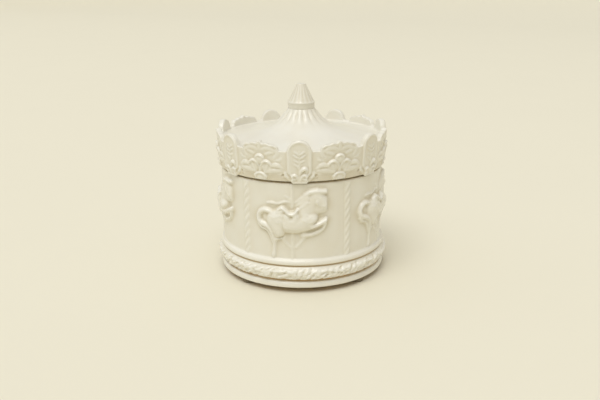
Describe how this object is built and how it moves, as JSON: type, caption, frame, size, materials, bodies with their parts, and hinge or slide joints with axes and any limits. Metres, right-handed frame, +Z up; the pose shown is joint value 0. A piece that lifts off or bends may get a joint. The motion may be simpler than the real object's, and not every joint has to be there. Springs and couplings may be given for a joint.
{
  "type": "wind-up music box",
  "caption": "Round glazed-ceramic carousel music box: the drum with horses turns on its base, the tent-roof lid lifts off, and a key underneath winds the movement.",
  "frame": {"origin": "centre of the round footprint, on the surface that the foot pads stand on", "axes": "+Z up along the box's axis of turning, -Y towards the front of the pictured pose"},
  "size_m": [0.1148, 0.1148, 0.1234],
  "materials": {
    "ceramic": "glossy ivory glaze",
    "pad_rubber": "soft translucent rubber",
    "felt": "pressed wool felt",
    "cork": "pressed cork sheet",
    "steel": "bright turned steel",
    "spring_steel": "tempered spring steel",
    "brass": "satin brass",
    "cast_plate": "zinc-plated casting",
    "nylon": "moulded nylon"
  },
  "bodies": {
    "base": {"base": "ceramic", "foot_pads": "pad_rubber", "bedplate": "cast_plate", "mounting_screws": "steel", "arbor_bush": "brass", "click_spring": "steel", "click_screw": "steel", "inner_bracket": "brass", "outer_bracket": "brass", "bracket_screws": "steel", "comb": "spring_steel", "comb_riser": "cast_plate", "comb_screws": "steel", "governor_frame": "brass", "governor_screw": "steel"},
    "carousel": {"drum": "ceramic", "trinket_liner": "felt", "turntable_disc": "steel", "turntable_pad": "cork", "turntable_washer": "steel", "turntable_nut": "steel", "output_stud": "steel", "crown_wheel": "brass", "spring_barrel": "steel", "mainspring": "spring_steel"},
    "lid": {"lid": "ceramic"},
    "winder": {"winding_arbor": "steel", "ratchet_wheel": "steel", "winding_key": "brass"},
    "cylinder": {"music_cylinder": "brass", "cylinder_arbor": "steel", "cylinder_pinion": "brass", "cylinder_gear": "brass"},
    "governor_wheel": {"governor_arbor": "steel", "governor_pinion": "brass", "worm_wheel": "brass"},
    "governor": {"worm_shaft": "steel", "air_brake": "nylon"}
  },
  "joints": [
    {"name": "carousel_spin", "type": "hinge", "parent": "base", "child": "carousel", "pos_m": [0, 0, 0.0183], "axis": [0, 0, 1], "continuous": true},
    {"name": "lid_lift", "type": "slide", "parent": "carousel", "child": "lid", "axis": [0, 0, 1], "range_m": [0, 0.06]},
    {"name": "key_wind", "type": "hinge", "parent": "base", "child": "winder", "pos_m": [0, 0, 0.0137], "axis": [0, 0, 1], "range_deg": [0, 1260]},
    {"name": "cylinder_spin", "type": "hinge", "parent": "base", "child": "cylinder", "pos_m": [0, 0, 0.03362], "axis": [1, 0, 0], "continuous": true},
    {"name": "governor_wheel_spin", "type": "hinge", "parent": "base", "child": "governor_wheel", "pos_m": [0.03, -0.0096, 0.03362], "axis": [1, 0, 0], "continuous": true},
    {"name": "governor_spin", "type": "hinge", "parent": "base", "child": "governor", "pos_m": [0.0318, -0.015, 0.03362], "axis": [0, 0, 1], "continuous": true}
  ],
  "couplings": [
    {"joint": "cylinder_spin", "follows": "carousel_spin", "ratio": 3},
    {"joint": "governor_wheel_spin", "follows": "carousel_spin", "ratio": -9},
    {"joint": "governor_spin", "follows": "carousel_spin", "ratio": -144}
  ]
}
